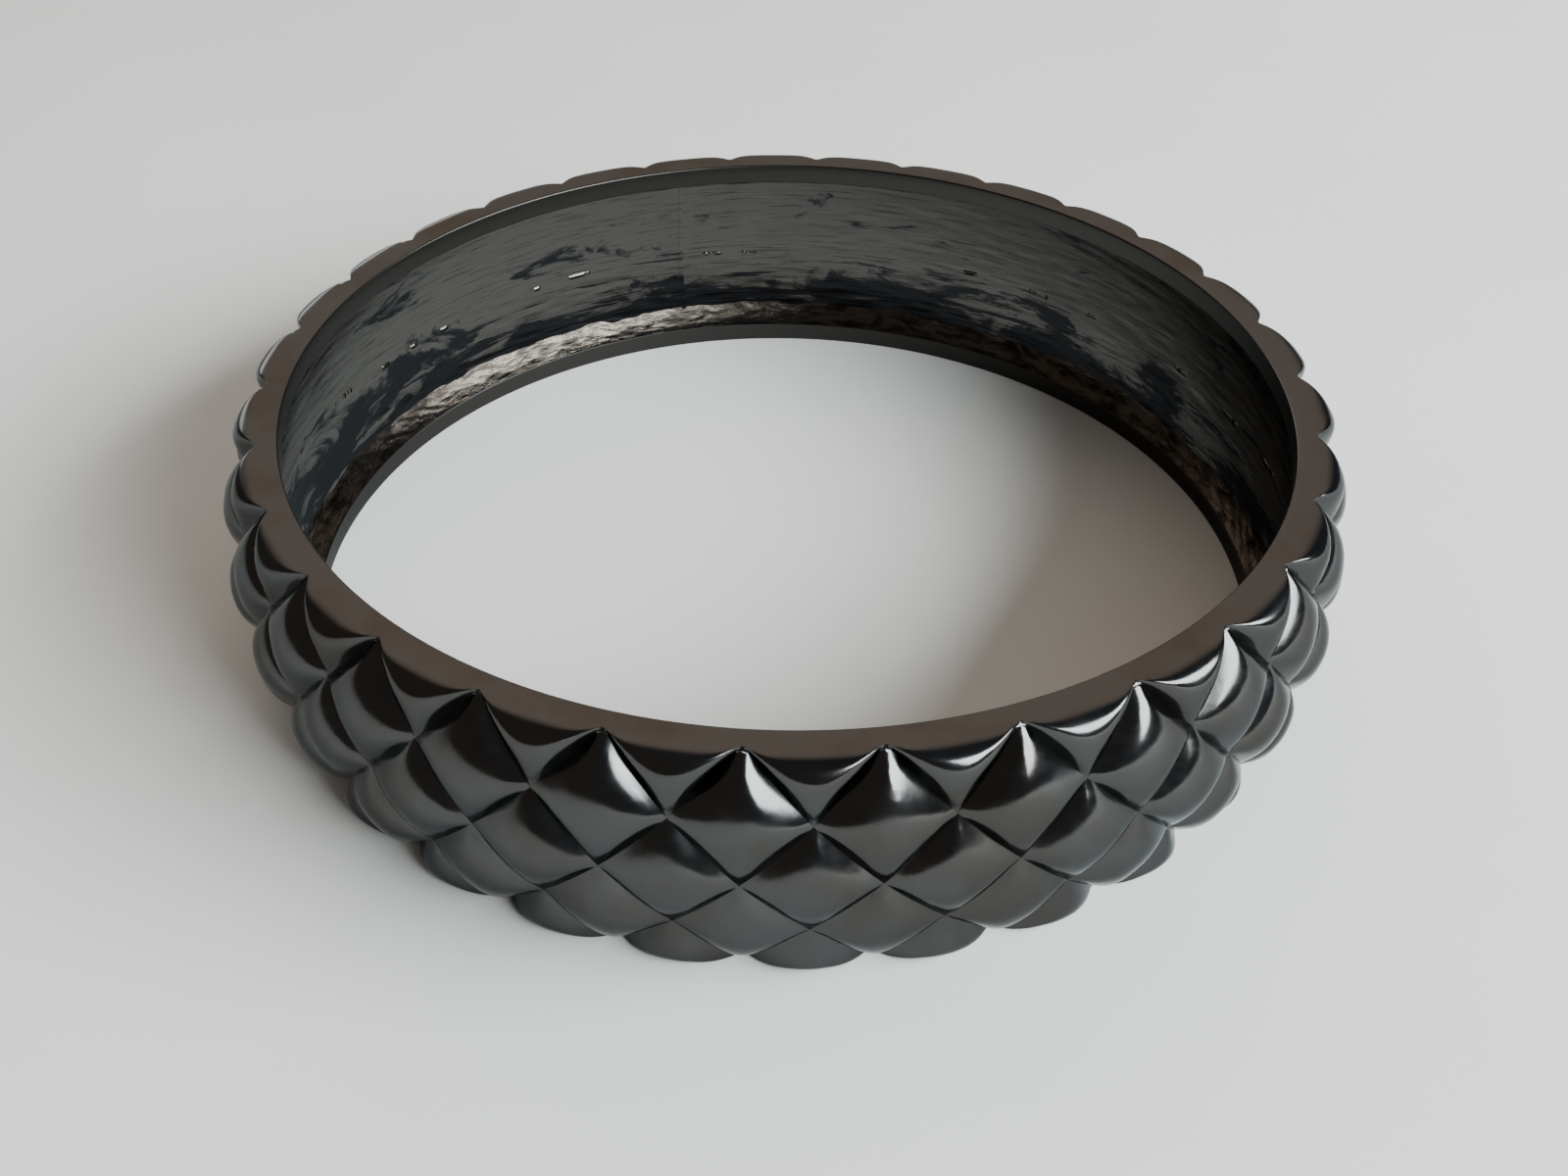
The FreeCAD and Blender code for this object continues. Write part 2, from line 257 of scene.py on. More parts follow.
def section_mesh(name: str, around: np.ndarray, radii: np.ndarray, heights: np.ndarray,
                 crease: float, splits: np.ndarray | None = None) -> bpy.types.Object:
    """Makes a ring or part of one from a closed section carried around Z.

    A point is its radius times the cosine and sine of its column's angle, at its height. The UV
    map is the distance around at the bore, and the distance along the section.

    Args:
        name: Name of the object.
        around: Angle of each column, rising. A last angle a full turn on from the first closes it.
        radii: Radii, one row for each point of the section and one column for each angle.
        heights: Heights, of the same shape.
        crease: Angle between faces above which an edge stays sharp.
        splits: Which way each cell is cut in two, as many rows and columns as there are cells:
            true from its first corner, false from its second. Left out, one way for all.

    Returns:
        The object, linked to the scene.
    """
    closed = abs(around[-1] - around[0] - FULL_TURN) < 1e-9
    if closed:
        around, radii, heights = around[:-1], radii[:, :-1], heights[:, :-1]
    rows, columns = radii.shape
    points = np.stack([radii * np.cos(around), radii * np.sin(around), heights], axis=-1)
    index = np.arange(rows * columns).reshape(rows, columns)
    right = np.roll(index, -1, axis=1) if closed else index[:, 1:]
    left = index if closed else index[:, :-1]
    cells = np.stack([left, right, np.roll(right, -1, axis=0), np.roll(left, -1, axis=0)], axis=-1)
    width = cells.shape[1]
    if splits is None:
        splits = np.ones((rows, width), dtype=bool)
    corners = np.where(splits[..., None], [0, 1, 2, 0, 2, 3], [0, 1, 3, 1, 2, 3])
    faces = np.take_along_axis(cells, corners, axis=-1).reshape(-1, 3).tolist()
    if not closed:
        faces.append(index[:, 0].tolist())
        faces.append(index[::-1, -1].tolist())
    mesh = bpy.data.meshes.new(name)
    mesh.from_pydata(points.reshape(-1, 3).tolist(), [], faces)
    steps = np.hypot(np.diff(radii[:, 0], append=radii[0, 0]),
                     np.diff(heights[:, 0], append=heights[0, 0]))
    along = np.concatenate([[0], np.cumsum(steps)])
    arc = np.append(around, around[0] + FULL_TURN)[:width + 1] * radii.min()
    cell_u = np.broadcast_to(np.stack([arc[:-1], arc[1:], arc[1:], arc[:-1]], axis=-1),
                             (rows, width, 4))
    cell_v = np.broadcast_to(np.stack([along[:-1], along[:-1], along[1:], along[1:]],
                                      axis=-1)[:, None], (rows, width, 4))
    uvs = np.zeros((len(mesh.loops), 2))
    for axis, cell_values in enumerate((cell_u, cell_v)):
        uvs[:corners.size, axis] = np.take_along_axis(cell_values, corners, axis=-1).ravel()
    layer = mesh.uv_layers.new(name="around_and_along")
    layer.data.foreach_set("uv", uvs.ravel())
    mesh.shade_smooth()
    mesh.set_sharp_from_angle(angle=crease)
    mesh.validate()
    mesh.update()
    piece = bpy.data.objects.new(name, mesh)
    bpy.context.scene.collection.objects.link(piece)
    return piece


def face_outwards(piece: bpy.types.Object) -> None:
    """Turns a closed piece's faces round if they point inwards, told by its signed volume."""
    mesh = piece.data
    mesh.calc_loop_triangles()
    points = np.empty(len(mesh.vertices) * 3)
    mesh.vertices.foreach_get("co", points)
    points = points.reshape(-1, 3)
    corners = np.empty(len(mesh.loop_triangles) * 3, dtype=int)
    mesh.loop_triangles.foreach_get("vertices", corners)
    first, second, third = (points[corners.reshape(-1, 3)[:, k]] for k in range(3))
    if np.einsum("ij,ij->", first, np.cross(second, third)) < 0:
        mesh.flip_normals()


class NodeGraph:
    """A material's node tree, with short ways to add and join its nodes."""

    def __init__(self, name: str) -> None:
        """Starts a material of that name with a bare shader.

        Args:
            name: Name of the material.
        """
        self.material = bpy.data.materials.new(name)
        self.material.use_nodes = True
        self.tree = self.material.node_tree
        self.shader = next(n for n in self.tree.nodes if n.type == "BSDF_PRINCIPLED")

    def add(self, kind: str, settings: dict | None = None, **inputs: object) -> bpy.types.Node:
        """Adds a node.

        Args:
            kind: Blender's name for the node type.
            settings: Properties of the node.
            **inputs: Values or sockets for its inputs; an underscore stands for a space.

        Returns:
            The node.
        """
        node = self.tree.nodes.new(kind)
        for key, value in (settings or {}).items():
            setattr(node, key, value)
        for key, value in inputs.items():
            socket = node.inputs[key.replace("_", " ")]
            if isinstance(value, bpy.types.NodeSocket):
                self.tree.links.new(value, socket)
            else:
                socket.default_value = value
        return node

    def join(self, source: bpy.types.NodeSocket, target: bpy.types.NodeSocket) -> None:
        """Joins two sockets."""
        self.tree.links.new(source, target)

    def stretched(self, source: bpy.types.NodeSocket,
                  scale: tuple[float, float, float]) -> bpy.types.NodeSocket:
        """Coordinates scaled along each axis."""
        return self.add("ShaderNodeMapping", Vector=source, Scale=scale).outputs["Vector"]

    def noise(self, source: bpy.types.NodeSocket, scale: float, detail: float = 6.0,
              roughness: float = 0.55, distortion: float = 0.0) -> bpy.types.NodeSocket:
        """Fractal noise over the coordinates.

        Args:
            source: Coordinates.
            scale: Cells in a unit of the coordinates.
            detail: Octaves.
            roughness: Weight of each octave against the one before.
            distortion: How far the pattern is pushed about.

        Returns:
            The noise's value, about 0.5 on average.
        """
        node = self.add("ShaderNodeTexNoise", Vector=source, Scale=scale, Detail=detail,
                        Roughness=roughness, Distortion=distortion)
        return node.outputs["Fac"]

    def ramp(self, source: bpy.types.NodeSocket, low: float, high: float,
             to_low: float = 0.0, to_high: float = 1.0) -> bpy.types.NodeSocket:
        """A value moved from one range to another, smoothly and within it."""
        node = self.add("ShaderNodeMapRange", {"interpolation_type": "SMOOTHSTEP"}, Value=source)
        for key, value in (("From Min", low), ("From Max", high), ("To Min", to_low),
                           ("To Max", to_high)):
            node.inputs[key].default_value = value
        return node.outputs["Result"]

    def math(self, operation: str, first: object, second: object) -> bpy.types.NodeSocket:
        """One sum on two values or sockets."""
        node = self.tree.nodes.new("ShaderNodeMath")
        node.operation = operation
        for socket, value in zip(node.inputs, (first, second)):
            if isinstance(value, bpy.types.NodeSocket):
                self.join(value, socket)
            else:
                socket.default_value = value
        return node.outputs[0]

    def blend(self, amount: bpy.types.NodeSocket, first: object,
              second: object) -> bpy.types.NodeSocket:
        """Two colours mixed by an amount. Each is a colour or a socket."""
        node = self.tree.nodes.new("ShaderNodeMix")
        node.data_type = "RGBA"
        self.join(amount, node.inputs[0])
        for socket, value in zip((node.inputs[6], node.inputs[7]), (first, second)):
            if isinstance(value, bpy.types.NodeSocket):
                self.join(value, socket)
            else:
                socket.default_value = (*value, 1.0)
        return node.outputs[2]

    def metal(self, edge_tint: tuple[float, float, float]) -> None:
        """Makes the shader bare metal, dimmed towards its edges by a tint."""
        self.shader.inputs["Metallic"].default_value = 1.0
        self.shader.inputs["Specular Tint"].default_value = (*edge_tint, 1.0)

    def bump(self, height: bpy.types.NodeSocket, depth: float, strength: float = 1.0,
             under: bpy.types.NodeSocket | None = None) -> bpy.types.NodeSocket:
        """A bump of a real depth, over another bump if there is one."""
        node = self.add("ShaderNodeBump", Height=height, Strength=strength, Distance=depth)
        if under is not None:
            self.join(under, node.inputs["Normal"])
        return node.outputs["Normal"]


@dataclass(frozen=True)
class Plating:
    """Polished dark plating, with faint mottling and pits, rubbed dull on the lips' bore faces,
    which are also painted darker as painted shade.
    """

    name: str = "polished_plating"
    tint: tuple[float, float, float] = (0.066, 0.0665, 0.068)
    worn: tuple[float, float, float] = (0.058, 0.055, 0.052)
    # Colour of the lips' bore faces: painted shade, darker than the plating.
    painted_lip_shade: tuple[float, float, float] = (0.05, 0.048, 0.046)
    edge_tint: tuple[float, float, float] = (0.55, 0.56, 0.57)
    polish: float = 0.13
    haze: float = 0.22
    rubbed_haze: float = 0.34
    lip_face: float = BandSizes.bore
    peel_depth: float = 0.00001
    pit_depth: float = 0.00001

    def make(self) -> bpy.types.Material:
        """Builds the material."""
        graph = NodeGraph(self.name)
        place = graph.add("ShaderNodeTexCoord").outputs["Object"]
        clouds = graph.noise(place, 160, 5, 0.6)
        flat = graph.stretched(place, (1, 1, 0))
        radius = graph.add("ShaderNodeVectorMath", {"operation": "LENGTH"}, Vector=flat)
        inside = graph.ramp(radius.outputs["Value"], self.lip_face + 0.00003,
                            self.lip_face + 0.0001, 1.0, 0.0)
        colour = graph.blend(graph.ramp(clouds, 0.42, 0.66), self.tint, self.worn)
        # Painted shade: the lips' bore faces get a darker colour, while their extra roughness is
        # real rubbing.
        colour = graph.blend(inside, colour, self.painted_lip_shade)
        graph.join(colour, graph.shader.inputs["Base Color"])
        smears = graph.noise(graph.stretched(place, (1, 1, 2.5)), 420, 6, 0.6)
        rough = graph.math("MAXIMUM", graph.ramp(smears, 0.35, 0.75, self.polish, self.haze),
                           graph.math("MULTIPLY", inside, self.rubbed_haze))
        graph.join(rough, graph.shader.inputs["Roughness"])
        orange_peel = graph.bump(graph.noise(place, 520, 3, 0.5), self.peel_depth)
        pits = graph.add("ShaderNodeTexVoronoi", Vector=place, Scale=260.0)
        pitted = graph.ramp(pits.outputs["Distance"], 0.02, 0.09)
        pits_over_peel = graph.bump(pitted, self.pit_depth, 0.6, orange_peel)
        graph.join(pits_over_peel, graph.shader.inputs["Normal"])
        graph.metal(self.edge_tint)
        return graph.material


@dataclass(frozen=True)
class RolledPlating:
    """The liner's plating: plain and grey above, with random dark stains and streaks that spread
    over more of the face towards its lower edge; that spread is painted shade.
    """

    name: str = "streaked_shaded_plating"
    tint: tuple[float, float, float] = (0.09, 0.087, 0.083)
    # Dark colour of both the random stains and the painted shade low on the face.
    stain_and_shade: tuple[float, float, float] = (0.02, 0.021, 0.024)
    line: tuple[float, float, float] = (0.046, 0.044, 0.041)
    edge_tint: tuple[float, float, float] = (0.55, 0.56, 0.57)
    # Heights up the face over which the painted low shade fades from strongest to gone.
    shade_foot: float = 0.0012
    shade_top: float = 0.0085
    crease: float = 0.0068
    crease_width: float = 0.00022
    crease_wander: float = 0.0005
    crease_depth: float = 0.00012
    streak_depth: float = 0.00005
    score_depth: float = 0.00002
    polish: float = 0.17
    haze: float = 0.32

    def make(self) -> bpy.types.Material:
        """Builds the material."""
        graph = NodeGraph(self.name)
        along = graph.add("ShaderNodeTexCoord").outputs["UV"]
        up = graph.add("ShaderNodeSeparateXYZ", Vector=along).outputs["Y"]
        clouds = graph.noise(graph.stretched(along, (1.0, 2.8, 1.0)), 100, 9, 0.64, 0.6)
        streaks = graph.noise(graph.stretched(along, (1.0, 12.0, 1.0)), 120, 8, 0.6, 0.35)
        fine = graph.noise(graph.stretched(along, (1.0, 26.0, 1.0)), 210, 6, 0.65)
        # Painted shade: the stain and streak masks are pushed to cover more of the face towards its
        # bottom.
        painted_low_shade = graph.ramp(up, self.shade_foot, self.shade_top, 0.11, -0.065)
        stains_and_low_shade = graph.ramp(graph.math("ADD", clouds, painted_low_shade), 0.53, 0.585)
        streaks_and_low_shade = graph.ramp(graph.math("ADD", streaks, painted_low_shade), 0.585, 0.62)
        stains_and_low_shade = graph.math("MAXIMUM", stains_and_low_shade, streaks_and_low_shade)
        lines = graph.ramp(fine, 0.53, 0.66)
        base = graph.blend(lines, self.tint, self.line)
        colour = graph.blend(stains_and_low_shade, base, self.stain_and_shade)
        graph.join(colour, graph.shader.inputs["Base Color"])
        rough = graph.ramp(fine, 0.35, 0.7, self.polish, self.haze)
        graph.join(rough, graph.shader.inputs["Roughness"])
        drawn = graph.bump(streaks, self.streak_depth, 0.6)
        scored = graph.bump(fine, self.score_depth, 0.6, drawn)
        creased = graph.bump(self.creased(graph, along, up), self.crease_depth, 1.0, scored)
        graph.join(creased, graph.shader.inputs["Normal"])
        graph.metal(self.edge_tint)
        return graph.material

    def creased(self, graph: NodeGraph, along: bpy.types.NodeSocket,
                up: bpy.types.NodeSocket) -> bpy.types.NodeSocket:
        """The height of a faint crease that wanders around the band and breaks up.

        Args:
            graph: The material's nodes.
            along: Distances around the band and up its face.
            up: The distance up its face alone.

        Returns:
            One on the crease, and nothing away from it or where it breaks.
        """
        length = graph.stretched(along, (1.0, 0.0, 1.0))
        wander = graph.ramp(graph.noise(length, 30, 2), 0.3, 0.7,
                            -self.crease_wander, self.crease_wander)
        off = graph.math("SUBTRACT", graph.math("SUBTRACT", up, self.crease), wander)
        ridge = graph.ramp(graph.math("ABSOLUTE", off, 0.0), 0.0, self.crease_width, 1.0, 0.0)
        broken = graph.ramp(graph.noise(length, 330, 4), 0.52, 0.62)
        return graph.math("MULTIPLY", ridge, broken)


@dataclass(frozen=True)
class SolderFinish:
    """Solder under the plating: brown, mottled, and drawn out around the band."""

    name: str = "mottled_solder"
    tint: tuple[float, float, float] = (0.085, 0.073, 0.062)
    scorch: tuple[float, float, float] = (0.022, 0.019, 0.018)
    edge_tint: tuple[float, float, float] = (0.5, 0.48, 0.45)
    polish: float = 0.09
    haze: float = 0.24
    grain_depth: float = 0.00012

    def make(self) -> bpy.types.Material:
        """Builds the material."""
        graph = NodeGraph(self.name)
        along = graph.add("ShaderNodeTexCoord").outputs["UV"]
        mottle = graph.noise(graph.stretched(along, (1.0, 3.0, 1.0)), 420, 7, 0.65, 0.5)
        colour = graph.blend(graph.ramp(mottle, 0.42, 0.62), self.tint, self.scorch)
        graph.join(colour, graph.shader.inputs["Base Color"])
        rough = graph.ramp(mottle, 0.35, 0.7, self.polish, self.haze)
        graph.join(rough, graph.shader.inputs["Roughness"])
        drawn = graph.noise(graph.stretched(along, (1.0, 4.0, 1.0)), 500, 6, 0.65)
        grain = graph.bump(drawn, self.grain_depth, 0.9)
        graph.join(grain, graph.shader.inputs["Normal"])
        graph.metal(self.edge_tint)
        return graph.material


@dataclass
class QuiltedShell:
    """The pressed shell and the solder in its butt joint."""

    sizes: BandSizes
    quilt: Quilt
    steps_per_pitch: int = 24
    bore_corner: float = 0.00006
    back_corner: float = 0.00004
    crease: float = math.radians(38)

    def columns(self) -> np.ndarray:
        """Angles of the shell's columns, from one side of its joint round to the other."""
        sizes = self.sizes
        count = self.sizes.columns * self.steps_per_pitch
        half = sizes.joint_width / 2 / sizes.bore
        inner = sizes.shell_joint + np.arange(1, count) * FULL_TURN / count
        return np.concatenate([[sizes.shell_joint + half], inner,
                               [sizes.shell_joint + FULL_TURN - half]])

    def section(self, around: np.ndarray) -> tuple[np.ndarray, np.ndarray]:
        """The closed section at each angle: down the outer face, round the lower lip, up inside.

        Args:
            around: Angles of the columns.

        Returns:
            Radii and heights, one row for each point of the section.
        """
        sizes = self.sizes
        near_rim = np.array([0, 0.0015, 0.006, 0.0135, 0.025])
        even = np.arange(1, 2 * self.steps_per_pitch) / self.steps_per_pitch
        ways = np.concatenate([near_rim, even, 2 - near_rim[::-1]])
        outer_z = np.broadcast_to((sizes.height * (1 - ways / 2))[:, None],
                                  (len(ways), len(around)))
        outer_r = self.quilt.shouldered(np.broadcast_to(around, outer_z.shape), outer_z, 0.0)
        ones = np.ones(len(around))
        rim_r = np.linspace(outer_r[-1], (sizes.bore + sizes.edge) * ones, 6)[1:]
        bend = np.linspace(0, math.pi / 2, 6)[1:, None]
        edge_r = sizes.bore + sizes.edge * (1 - np.sin(bend)) * ones
        edge_z = sizes.edge * (1 - np.cos(bend)) * ones
        lip_r = np.array([sizes.bore, sizes.bore, sizes.bore + self.bore_corner,
                          sizes.lip_back - self.back_corner, sizes.lip_back, sizes.lip_back])
        lip_z = np.array([sizes.lip / 2, sizes.lip - self.bore_corner, sizes.lip,
                          sizes.lip, sizes.lip - self.back_corner, sizes.sheet])
        low_z = np.concatenate([np.zeros_like(rim_r), edge_z, lip_z[:, None] * ones])
        low_r = np.concatenate([rim_r, edge_r, lip_r[:, None] * ones])
        inner_ways = np.concatenate([[0, 0.04, 0.13, 0.3], np.linspace(0.5, 5.5, 9),
                                     [5.7, 5.87, 5.96, 6]]) / 6
        inner_z = (sizes.sheet + (sizes.height - 2 * sizes.sheet) * inner_ways)[:, None] * ones
        inner_r = self.quilt.shouldered(np.broadcast_to(around, inner_z.shape), inner_z,
                                        sizes.sheet)
        radii = np.concatenate([outer_r, low_r, inner_r, low_r[::-1]])
        heights = np.concatenate([outer_z, low_z, inner_z, sizes.height - low_z[::-1]])
        return radii, heights

    def splits(self, around: np.ndarray, heights: np.ndarray) -> np.ndarray:
        """Which way each cell is cut in two, so that the cuts run along the nearer grooves.

        Args:
            around: Angles of the columns.
            heights: Heights of the section's points.

        Returns:
            True where the cell lies nearer to a groove that falls as the angle grows.
        """
        sizes = self.sizes
        turns = (around[:-1] + around[1:]) / 2 / FULL_TURN * sizes.columns
        middle = (heights[:, 0] + np.roll(heights[:, 0], -1)) / 2
        down = sizes.rows * (1 - middle / sizes.height)[:, None]
        to_rising = np.abs(turns + down - np.round(turns + down))
        to_falling = np.abs(turns - down - np.round(turns - down))
        return to_falling < to_rising

    def build(self, finish: bpy.types.Material) -> list[bpy.types.Object]:
        """Builds the shell and its joint's solder.

        Args:
            finish: The plating.

        Returns:
            Both objects.
        """
        around = self.columns()
        radii, heights = self.section(around)
        shell = section_mesh("quilted_shell_skin", around, radii, heights, self.crease,
                             self.splits(around, heights))
        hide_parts("quilted_shell")
        gap = np.array([around[-1] - FULL_TURN, self.sizes.shell_joint, around[0]])
        radii, heights = self.section(gap)
        joint = section_mesh("shell_joint_seam", gap, radii, heights, self.crease)
        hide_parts("shell_joint_solder")
        pieces = [shell, joint]
        for piece in pieces:
            face_outwards(piece)
            piece.data.materials.append(finish)
            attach(piece, BODY)
        return pieces


@dataclass
class Liner:
    """The rolled inner band and the solder in its joint."""

    sizes: BandSizes
    waviness: float = 0.00003
    streak: float = 0.000018
    columns: int = 900
    rows: int = 72
    back_rows: int = 13
    even_margin: float = 0.0006
    bead_height: float = 0.00004
    crease: float = math.radians(50)
    seed: int = 19

    def section(self, around: np.ndarray, proud: float) -> tuple[np.ndarray, np.ndarray]:
        """The strip's section at each angle: up its inner face, which is uneven, and down its back.

        Args:
            around: Angles of the columns.
            proud: How far the face stands inwards of the strip.

        Returns:
            Radii and heights.
        """
        sizes = self.sizes
        low, high = (corner.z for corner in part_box("liner_band"))
        face_z = np.linspace(low, high, self.rows)[:, None] * np.ones(len(around))
        wide = np.broadcast_to(around, face_z.shape)
        from_lip = np.minimum(face_z - sizes.lip, sizes.height - sizes.lip - face_z)
        inside = np.clip(from_lip / self.even_margin, 0, 1)
        rolled = ripple(wide, face_z, self.seed, 30, 40, 160)
        drawn = ripple(wide, face_z, self.seed + 1, 60, 60, 1600)
        hollow = sizes.liner_face(face_z, (high - low) / 2)
        lift = self.waviness * (rolled - 1) + self.streak * (drawn - 1) - proud
        face_r = hollow + inside * lift
        back_z = np.linspace(high, low, self.back_rows)[:, None] * np.ones(len(around))
        back_r = sizes.liner_face(back_z, (high - low) / 2) + sizes.liner
        return np.concatenate([face_r, back_r]), np.concatenate([face_z, back_z])

    def build(self, finish: bpy.types.Material) -> list[bpy.types.Object]:
        """Builds the band and its joint's solder.

        Args:
            finish: The liner's plating.

        Returns:
            Both objects.
        """
        sizes = self.sizes
        half = sizes.joint_width / 2 / sizes.lip_back
        start, end = sizes.liner_joint + half, sizes.liner_joint + FULL_TURN - half
        around = np.linspace(start, end, self.columns)
        band = section_mesh("liner_streaked_band", around, *self.section(around, 0.0),
                            self.crease)
        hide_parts("liner_band")
        gap = np.linspace(end - FULL_TURN, start, 5)
        bead = section_mesh("liner_joint_bead", gap, *self.section(gap, self.bead_height),
                            self.crease)
        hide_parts("liner_joint_solder")
        pieces = [band, bead]
        for piece in pieces:
            face_outwards(piece)
            piece.data.materials.append(finish)
            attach(piece, BODY)
        return pieces


@dataclass
class LipSolder:
    """A run of solder in the corner between a lip and the liner, which it bites into a little."""

    sizes: BandSizes
    name: str
    node: str
    climb: float
    upper: bool
    roughness: float
    toe: float = 0.0001
    bite: float = 0.00006
    columns: int = 1080
    rows: int = 18
    crease: float = math.radians(60)
    seed: int = 31

    def section(self, around: np.ndarray) -> tuple[np.ndarray, np.ndarray]:
        """The run's section: a hollow face from the lip's edge to the liner, then its back.

        The face is a shallow parabola bowed towards the corner, and lifted by an unevenness that
        dies away at both ends. The back follows the liner's face.

        Args:
            around: Angles of the columns.

        Returns:
            Radii and heights.
        """
        sizes = self.sizes
        low, high = (corner.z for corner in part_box("liner_band"))
        way = np.linspace(0, 1, self.rows)[:, None]
        wide = np.broadcast_to(around, (self.rows, len(around)))
        uneven = np.clip(1 + 0.1 * ripple(wide, 0 * wide, self.seed, 24, 70, 0), 0.8, 1.1)
        top = self.climb * uneven[0]
        toe = sizes.bore + self.toe
        end = sizes.liner_face(sizes.lip + top, (high - low) / 2)
        chord = np.hypot(end - toe, top)
        bow = chord**2 / (8 * sizes.solder_hollow)
        lumps = ripple(wide, way * self.climb, self.seed + 1, 90, 150, 2400)
        inwards = 4 * way * (1 - way) * (self.roughness * (1 + np.clip(lumps, -1, 1.5)) - bow)
        level = top * way + inwards * (end - toe) / chord
        face_r = toe + (end - toe) * way - inwards * top / chord
        back_r = sizes.liner_face(sizes.lip + level[::-1], (high - low) / 2) + self.bite
        rise = sizes.lip + np.concatenate([level, level[::-1]])
        return np.concatenate([face_r, back_r]), sizes.height - rise if self.upper else rise

    def build(self, finish: bpy.types.Material) -> bpy.types.Object:
        """Builds the run.

        Args:
            finish: The solder's finish.

        Returns:
            The object.
        """
        around = np.linspace(0, FULL_TURN, self.columns + 1)
        run = section_mesh(self.name, around, *self.section(around), self.crease)
        face_outwards(run)
        run.data.materials.append(finish)
        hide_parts(self.node)
        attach(run, BODY)
        return run


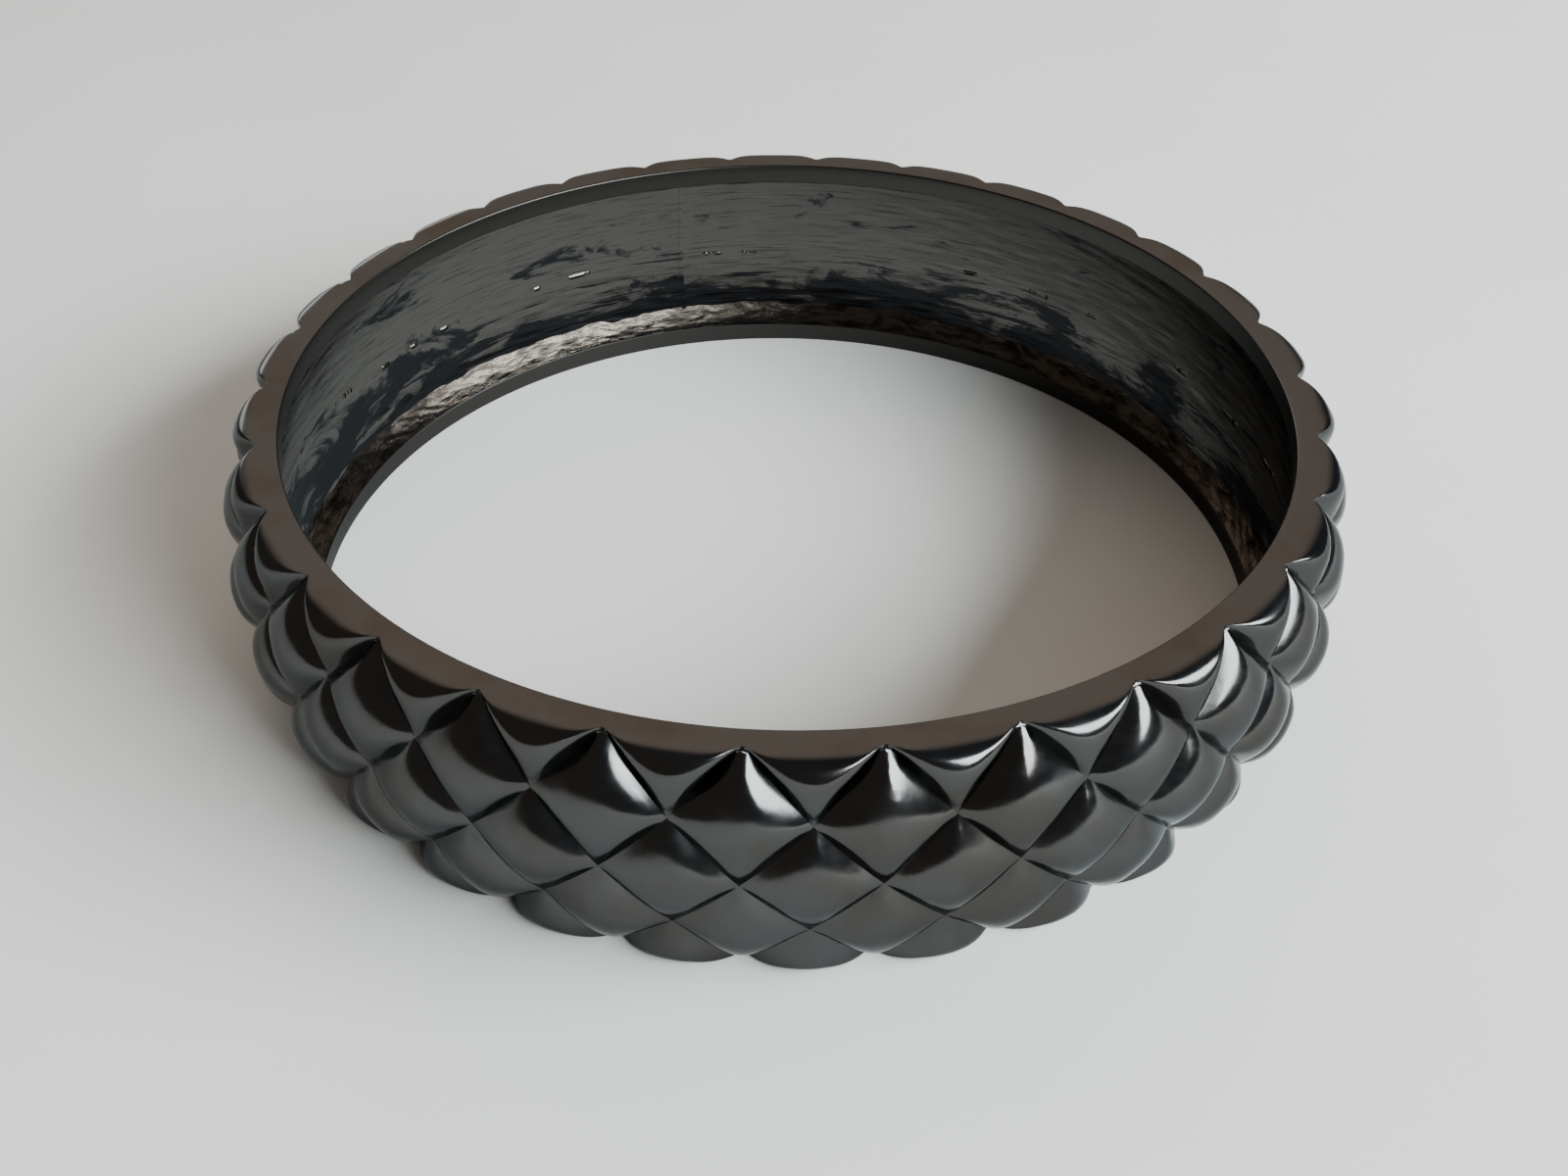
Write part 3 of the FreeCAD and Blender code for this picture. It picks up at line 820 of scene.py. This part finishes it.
@dataclass
class Studio:
    """The floor, the lights and the camera."""

    sizes: BandSizes
    floor_colour: tuple[float, float, float] = (0.76, 0.77, 0.755)
    bright_side: tuple[float, float, float] = (0.0, 0.82, 0.57)
    pale_wall: tuple[float, float, float] = (1.3, 1.07, 0.88)
    left_wall: tuple[float, float, float] = (0.19, 0.163, 0.135)
    right_wall: tuple[float, float, float] = (0.15, 0.17, 0.205)
    distance: float = 3.5304
    elevation: float = 0.68
    turn: float = math.radians(-2.704)
    roll: float = -0.0183
    pan: float = 0.0004
    tilt: float = -0.0103
    focal_ratio: float = 1624.06 / 1600

    def floor(self) -> None:
        """A wide pale floor under the bangle."""
        half = 1.5
        mesh = bpy.data.meshes.new("floor")
        mesh.from_pydata([(-half, -half, 0), (half, -half, 0), (half, half, 0), (-half, half, 0)],
                         [], [(0, 1, 2, 3)])
        floor = bpy.data.objects.new("floor", mesh)
        bpy.context.scene.collection.objects.link(floor)
        graph = NodeGraph("pale_floor")
        place = graph.add("ShaderNodeTexCoord").outputs["Object"]
        tone = graph.ramp(graph.noise(place, 30, 4, 0.5), 0.3, 0.7)
        darker = tuple(0.965 * value for value in self.floor_colour)
        graph.join(graph.blend(tone, self.floor_colour, darker), graph.shader.inputs["Base Color"])
        graph.shader.inputs["Roughness"].default_value = 0.9
        mesh.materials.append(graph.material)

    def area(self, name: str, place: tuple[float, float, float], size: tuple[float, float],
             power: float, colour: tuple[float, float, float]) -> None:
        """A rectangular soft light that faces the bangle.

        Args:
            name: Name of the light.
            place: Where it hangs.
            size: Its width and height.
            power: Its power in watts.
            colour: Its colour.
        """
        light = bpy.data.lights.new(name, "AREA")
        light.shape = "RECTANGLE"
        light.size, light.size_y = size
        light.energy = power
        light.color = colour
        lamp = bpy.data.objects.new(name, light)
        bpy.context.scene.collection.objects.link(lamp)
        lamp.location = place
        aim = Vector((0, 0, self.sizes.height / 2)) - Vector(place)
        lamp.rotation_euler = aim.to_track_quat("-Z", "Y").to_euler()

    def room(self) -> None:
        """A dim room: a pale warm wall behind, and nearly dark in front, brown to blue."""
        world = bpy.data.worlds.new("room")
        bpy.context.scene.world = world
        world.use_nodes = True
        tree = world.node_tree
        background = tree.nodes["Background"]
        direction = tree.nodes.new("ShaderNodeTexCoord").outputs["Generated"]
        sides = self.lean(tree, direction, (1.0, 0.0, 0.0), -0.6, 0.6)
        behind = self.lean(tree, direction, self.bright_side, 0.68, 0.97)
        front = self.mix(tree, sides, self.left_wall, self.right_wall)
        tree.links.new(self.mix(tree, behind, front, self.pale_wall), background.inputs["Color"])

    def lean(self, tree: bpy.types.NodeTree, direction: bpy.types.NodeSocket,
             towards: tuple[float, float, float], low: float, high: float) -> bpy.types.NodeSocket:
        """How far a direction leans towards another, from 0 at one dot product to 1 at another."""
        dot = tree.nodes.new("ShaderNodeVectorMath")
        dot.operation = "DOT_PRODUCT"
        dot.inputs[1].default_value = towards
        tree.links.new(direction, dot.inputs[0])
        spread = tree.nodes.new("ShaderNodeMapRange")
        spread.interpolation_type = "SMOOTHSTEP"
        spread.inputs["From Min"].default_value = low
        spread.inputs["From Max"].default_value = high
        tree.links.new(dot.outputs["Value"], spread.inputs["Value"])
        return spread.outputs["Result"]

    def mix(self, tree: bpy.types.NodeTree, amount: bpy.types.NodeSocket, first: object,
            second: object) -> bpy.types.NodeSocket:
        """Two colours mixed by an amount. Each is a colour or a socket."""
        node = tree.nodes.new("ShaderNodeMix")
        node.data_type = "RGBA"
        tree.links.new(amount, node.inputs[0])
        for socket, value in zip((node.inputs[6], node.inputs[7]), (first, second)):
            if isinstance(value, bpy.types.NodeSocket):
                tree.links.new(value, socket)
            else:
                socket.default_value = (*value, 1.0)
        return node.outputs[2]

    def camera(self) -> None:
        """The camera: its distance is in bore radii, and it looks at the bore's foot."""
        eye = Vector((0, -math.cos(self.elevation), math.sin(self.elevation)))
        forward, right = -eye, Vector((1, 0, 0))
        up = right.cross(forward)
        pan = Matrix.Rotation(self.pan, 3, up)
        forward, right = pan @ forward, pan @ right
        tilt = Matrix.Rotation(self.tilt, 3, right)
        forward, up = tilt @ forward, tilt @ up
        roll = Matrix.Rotation(self.roll, 3, forward)
        right, up = roll @ right, roll @ up
        turn = Matrix.Rotation(self.turn, 4, "Z")
        pose = Matrix((right, up, -forward)).transposed().to_4x4()
        pose.translation = eye * self.distance * self.sizes.bore
        data = bpy.data.cameras.new("view")
        data.sensor_width = 36.0
        data.lens = data.sensor_width * self.focal_ratio
        data.clip_start, data.clip_end = 0.005, 10.0
        camera = bpy.data.objects.new("view", data)
        bpy.context.scene.collection.objects.link(camera)
        camera.matrix_world = turn @ pose
        bpy.context.scene.camera = camera

    def direction(self, bearing: float, rise: float, distance: float) -> tuple[float, float, float]:
        """The point at a distance from the origin, at an angle from +X and one above the floor."""
        around, up = math.radians(bearing), math.radians(rise)
        flat = distance * math.cos(up)
        return flat * math.cos(around), flat * math.sin(around), distance * math.sin(up)

    def build(self) -> None:
        """Sets up the whole studio."""
        self.floor()
        self.room()
        self.area("window", self.direction(-29, 32, 0.6), (0.64, 0.25), 12.5, (0.93, 1.0, 0.99))
        self.area("far_window", self.direction(118, 12, 1.5), (0.8, 0.35), 4.5, (1.0, 1.0, 1.0))
        self.camera()


def main() -> None:
    """Builds the bangle and its studio in order."""
    logging.basicConfig(level=logging.INFO, format="%(name)s: %(message)s")
    sizes = BandSizes()
    quilt = Quilt(sizes)
    plating = Plating().make()
    streaks_and_low_shade = RolledPlating().make()
    mottled = SolderFinish().make()
    pieces = QuiltedShell(sizes, quilt).build(plating)
    pieces += Liner(sizes).build(streaks_and_low_shade)
    pieces.append(LipSolder(sizes, "lower_solder_run", "lower_lip_solder", sizes.lower_solder,
                            False, 0.00003).build(mottled))
    pieces.append(LipSolder(sizes, "upper_solder_run", "upper_lip_solder", sizes.upper_solder,
                            True, 0.00002).build(mottled))
    for piece in pieces:
        LOG.info("%s: %d faces", piece.name, len(piece.data.polygons))
    Studio(sizes).build()


if __name__ == "__main__":
    main()
